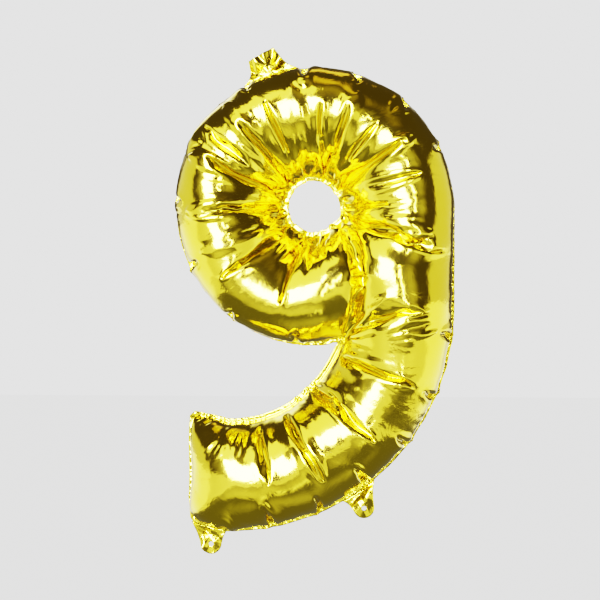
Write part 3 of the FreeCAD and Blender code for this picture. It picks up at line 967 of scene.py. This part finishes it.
def stage_plane(name, size, location, material):
    """A rectangle that isn't part of the object, flat on X and Y until it is turned."""
    corners = [(x * size[0] / 2, y * size[1] / 2, 0) for x, y in ((-1, -1), (1, -1), (1, 1), (-1, 1))]
    mesh = bpy.data.meshes.new(name)
    mesh.from_pydata(corners, [], [(0, 1, 2, 3)])
    mesh.materials.append(material)
    plane = bpy.data.objects.new(name, mesh)
    plane.location = location
    bpy.context.scene.collection.objects.link(plane)
    return plane


def make_floor():
    """A pale floor below the hanging balloon."""
    pale, nodes, _ = new_material("pale_floor")
    nodes["Principled BSDF"].inputs["Base Color"].default_value = (0.93, 0.93, 0.925, 1)
    nodes["Principled BSDF"].inputs["Roughness"].default_value = 0.9
    nodes["Principled BSDF"].inputs["Specular IOR Level"].default_value = 0.0
    stage_plane("floor", (30, 30), (0, 0, VIEW_CENTRE.z - FLOOR_DROP), pale)


def make_world():
    """A pale room for the camera and for diffuse light; mirrors see it dark, apart from the cards."""
    world = bpy.data.worlds.new("studio")
    bpy.context.scene.world = world
    world.use_nodes = True
    nodes, links = world.node_tree.nodes, world.node_tree.links
    pale = nodes["Background"]
    pale.inputs["Color"].default_value = (0.85, 0.85, 0.85, 1)
    dim = nodes.new("ShaderNodeBackground")
    dim.inputs["Color"].default_value = (0.07, 0.062, 0.05, 1)
    seen = nodes.new("ShaderNodeLightPath")
    mix = nodes.new("ShaderNodeMixShader")
    links.new(seen.outputs["Is Glossy Ray"], mix.inputs[0])
    links.new(pale.outputs[0], mix.inputs[1])
    links.new(dim.outputs[0], mix.inputs[2])
    links.new(mix.outputs[0], nodes["World Output"].inputs["Surface"])


def card(name, azimuth, elevation, distance, width, height, level, soft=0.0, colour=(1, 1, 1)):
    """A studio card that only reflections see. With soft edges it adds its glow to what is behind."""
    material, nodes, links = new_material(name)
    nodes.remove(nodes["Principled BSDF"])
    glow = nodes.new("ShaderNodeEmission")
    glow.inputs["Color"].default_value = (*colour, 1)
    glow.inputs["Strength"].default_value = level
    links.new(glow.outputs[0], nodes["Material Output"].inputs["Surface"])
    if soft:
        place = nodes.new("ShaderNodeTexCoord")
        parts = nodes.new("ShaderNodeSeparateXYZ")
        links.new(place.outputs["Generated"], parts.inputs[0])
        strength = nodes.new("ShaderNodeMath")
        strength.operation = "MULTIPLY"
        for axis in (0, 1):
            to_edge = nodes.new("ShaderNodeMath")
            to_edge.operation = "PINGPONG"
            to_edge.inputs[1].default_value = 0.5
            fade = nodes.new("ShaderNodeMapRange")
            fade.interpolation_type = "SMOOTHSTEP"
            fade.inputs["From Max"].default_value = soft / 2
            links.new(parts.outputs[axis], to_edge.inputs[0])
            links.new(to_edge.outputs[0], fade.inputs["Value"])
            links.new(fade.outputs["Result"], strength.inputs[axis])
        scaled = nodes.new("ShaderNodeMath")
        scaled.operation = "MULTIPLY"
        scaled.inputs[1].default_value = level
        links.new(strength.outputs[0], scaled.inputs[0])
        links.new(scaled.outputs[0], glow.inputs["Strength"])
        behind = nodes.new("ShaderNodeBsdfTransparent")
        added = nodes.new("ShaderNodeAddShader")
        links.new(glow.outputs[0], added.inputs[0])
        links.new(behind.outputs[0], added.inputs[1])
        links.new(added.outputs[0], nodes["Material Output"].inputs["Surface"])
    back = toward(azimuth, elevation)
    panel = stage_plane(name, (width, height), VIEW_CENTRE + back * distance, material)
    panel.rotation_mode = "QUATERNION"
    panel.rotation_quaternion = back.to_track_quat("Z", "Y")
    panel.visible_camera = panel.visible_diffuse = False
    panel.visible_shadow = panel.visible_transmission = False


make_camera()
make_floor()
make_world()
softbox("soft_key", -35, 40, 1.8, 1.2, 1.2, 6)
card("main_softbox", -17, 12, 1.7, 0.8, 1.15, 30, 0.3)
card("main_surround", -28, 8, 1.9, 2.2, 2.6, 0.30, 1.0)
card("strip_softbox", 10, 6, 1.75, 0.09, 1.0, 24, 0.5)
card("rear_softbox", -150, 28, 1.7, 0.8, 1.1, 1.6, 0.8)
card("rear_glow", 178, 5, 2.0, 1.6, 2.0, 0.5, 0.9)
card("left_wall", -100, -4, 2.0, 3.2, 2.8, 0.56, 0.3)
card("right_wall", 102, -6, 2.0, 3.1, 2.7, 0.56, 0.3)
card("floor_flag", 0, -90, FLOOR_DROP - 0.002, 3.2, 8.0, 0.12)
card("low_patch", 6, -44, 1.45, 0.30, 0.55, 0.8, 0.7)
card("low_glow", -14, -34, 1.7, 2.6, 1.4, 0.55, 1.0)
card("floor_glow", 20, -72, 1.15, 1.5, 0.9, 0.22, 1.0)
card("front_right_panel", 28, 4, 2.2, 1.4, 2.2, 0.32, 1.0)
card("ceiling_strip", 170, 60, 1.8, 0.8, 0.6, 0.9, 0.8, (1.0, 0.75, 0.45))
card("ceiling_patch", 20, 78, 1.8, 0.8, 0.8, 0.5, 0.8, (1.0, 0.75, 0.45))
card("ceiling_glow", 10, 50, 2.0, 2.6, 1.4, 0.16, 1.0, (1.0, 0.85, 0.6))
view = bpy.context.scene.view_settings
view.view_transform, view.look, view.exposure = "Filmic", "Very High Contrast", EXPOSURE
